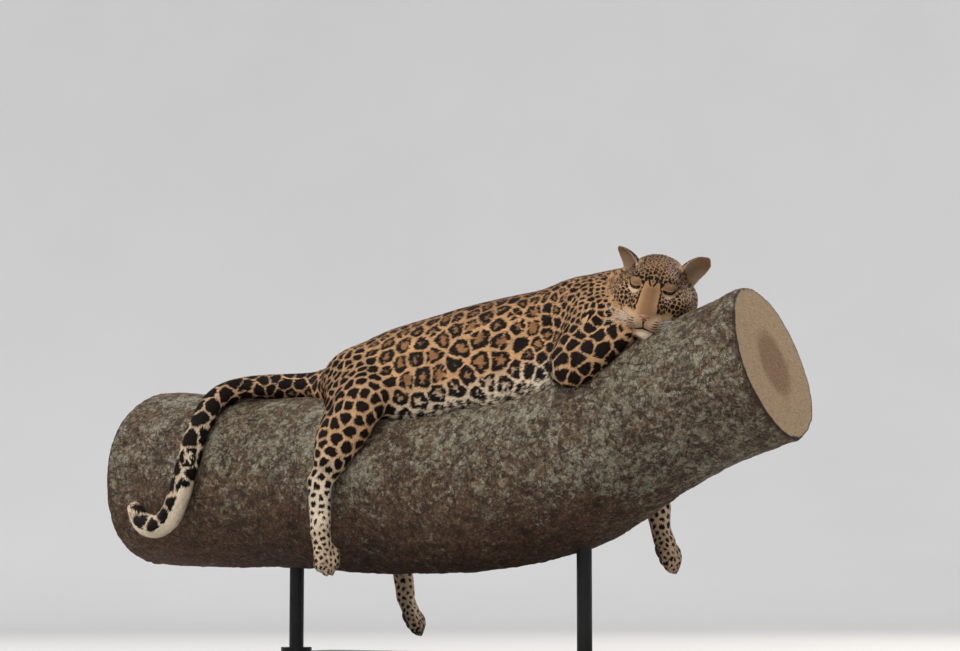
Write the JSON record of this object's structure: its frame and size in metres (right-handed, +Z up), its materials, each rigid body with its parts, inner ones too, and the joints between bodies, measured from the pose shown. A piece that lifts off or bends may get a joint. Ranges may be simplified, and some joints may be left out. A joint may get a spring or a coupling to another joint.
{
  "type": "leopard model",
  "caption": "Life-size leopard asleep on its belly along a thick cut branch, legs and tail hanging, on a flat stand with rods.",
  "frame": {"origin": "middle of the underside of the stand's base", "axes": "+X along the branch towards the head, +Y to the far side of the branch (the animal's left), +Z up"},
  "size_m": [1.5968, 0.56, 0.8712],
  "materials": {
    "coat": "short tan fur with black rosettes and spots, paler below",
    "eye": "wet, yellow-green, almost shut",
    "nose": "dull pink-brown nose leather",
    "bark": "cracked grey-brown bark with grey-green lichen",
    "stand": "satin black"
  },
  "bodies": {
    "root": {"head": "coat", "ear_left": "coat", "ear_right": "coat", "neck": "coat", "torso": "coat", "foreleg_left": "coat", "foreleg_right": "coat", "forepaw_left": "coat", "hindleg_left": "coat", "hindleg_right": "coat", "hindpaw_left": "coat", "hindpaw_right": "coat", "tail_base": "coat", "tail_middle": "coat", "tail_tip": "coat", "eye_left": "eye", "eye_right": "eye", "nose": "nose", "perch": "bark", "stand_base": "stand", "stand_rod_rear": "stand", "stand_rod_front": "stand", "stand_collar_rear": "stand", "stand_collar_front": "stand"}
  },
  "joints": []
}
